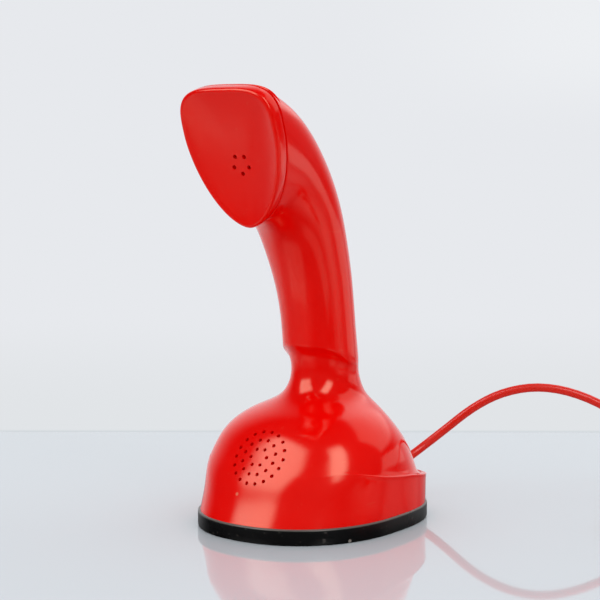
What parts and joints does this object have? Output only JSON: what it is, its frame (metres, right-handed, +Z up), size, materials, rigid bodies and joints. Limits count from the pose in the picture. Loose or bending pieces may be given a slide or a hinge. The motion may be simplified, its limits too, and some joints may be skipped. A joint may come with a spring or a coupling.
{
  "type": "upright one-piece telephone",
  "caption": "Upright one-piece telephone: a curved grip rises from a domed foot to a dished earpiece, with a mouthpiece grille, a dial in the foot and a line cord.",
  "frame": {"origin": "on the dial's axis, at the plane that the foot ring stands on", "axes": "+Z up through the foot, -Y the way that the mouthpiece and earpiece face, X across the symmetric case"},
  "size_m": [0.2542, 0.2216, 0.207],
  "materials": {
    "case_red": "glossy moulded plastic",
    "cord_red": "satin flexible plastic",
    "ring_black": "matt black rubber",
    "seal_black": "soft sealing rubber",
    "plate_grey": "matt dark grey plastic",
    "wheel_dark": "glossy dark plastic",
    "dial_pale": "pale enamel with plain printed figures",
    "button_red": "glossy plastic",
    "steel": "plain steel",
    "spring_steel": "spring steel",
    "brass": "turned brass",
    "insulator": "moulded insulating block",
    "board_green": "lacquered circuit board",
    "capsule_grey": "pressed capsule case",
    "winding": "varnished winding",
    "lead_grey": "flexible lead sheath",
    "tie_clear": "pale plastic band"
  },
  "bodies": {
    "root": {"case_shell": "case_red", "earpiece_cap": "case_red", "foot_ring": "ring_black", "base_plate": "plate_grey", "base_screws": "steel", "number_plate": "dial_pale", "finger_stop": "steel", "hook_spring": "spring_steel", "guide_tube": "brass", "dial_bush": "brass", "mainspring": "spring_steel", "spring_cup": "steel", "governor_cup": "brass", "pillars": "steel", "top_plate": "steel", "pulse_block": "insulator", "pulse_leaves": "brass", "switch_bridge": "steel", "switch_block": "insulator", "switch_leaves": "brass", "circuit_board": "board_green", "board_standoffs": "brass", "induction_coil": "winding", "capacitor": "capsule_grey", "transmitter_capsule": "capsule_grey", "transmitter_gasket": "seal_black", "transmitter_bracket": "steel", "receiver_capsule": "capsule_grey", "receiver_gasket": "seal_black", "receiver_clip": "spring_steel", "receiver_lead": "lead_grey", "terminal_block": "insulator", "cord_tail": "cord_red", "strain_relief": "cord_red", "line_cord": "cord_red", "cord_coil": "cord_red", "cord_ties": "tie_clear", "plug_body": "cord_red", "plug_pins": "brass"},
    "dial": {"finger_wheel": "wheel_dark", "dial_shaft": "steel", "main_gear": "brass", "pulse_cam": "steel"},
    "middle": {"middle_arbor": "steel", "middle_pinion": "steel", "middle_gear": "brass"},
    "governor": {"governor_arbor": "steel", "governor_pinion": "steel", "governor_fly": "brass"},
    "hook": {"hook_button": "button_red", "hook_rod": "steel"}
  },
  "joints": [
    {"name": "dial_turn", "type": "hinge", "parent": "root", "child": "dial", "pos_m": [0, 0, 0], "axis": [0, 0, 1], "range_deg": [0, 330], "stiffness_Nm_per_rad": 0.01, "springref_deg": -114.59},
    {"name": "middle_spin", "type": "hinge", "parent": "root", "child": "middle", "pos_m": [0, 0.01815, 0], "axis": [0, 0, 1], "range_deg": [-1650, 0]},
    {"name": "governor_spin", "type": "hinge", "parent": "root", "child": "governor", "pos_m": [0.00685, 0.02631, 0], "axis": [0, 0, 1], "range_deg": [0, 4125]},
    {"name": "hook_plunger", "type": "slide", "parent": "root", "child": "hook", "axis": [0, 0, -1], "range_m": [0, 0.004], "stiffness_N_per_m": 80, "springref_m": 0.012, "deforming": ["hook_spring"]}
  ],
  "couplings": [
    {"joint": "middle_spin", "follows": "dial_turn", "ratio": -5},
    {"joint": "governor_spin", "follows": "dial_turn", "ratio": 12.5}
  ]
}
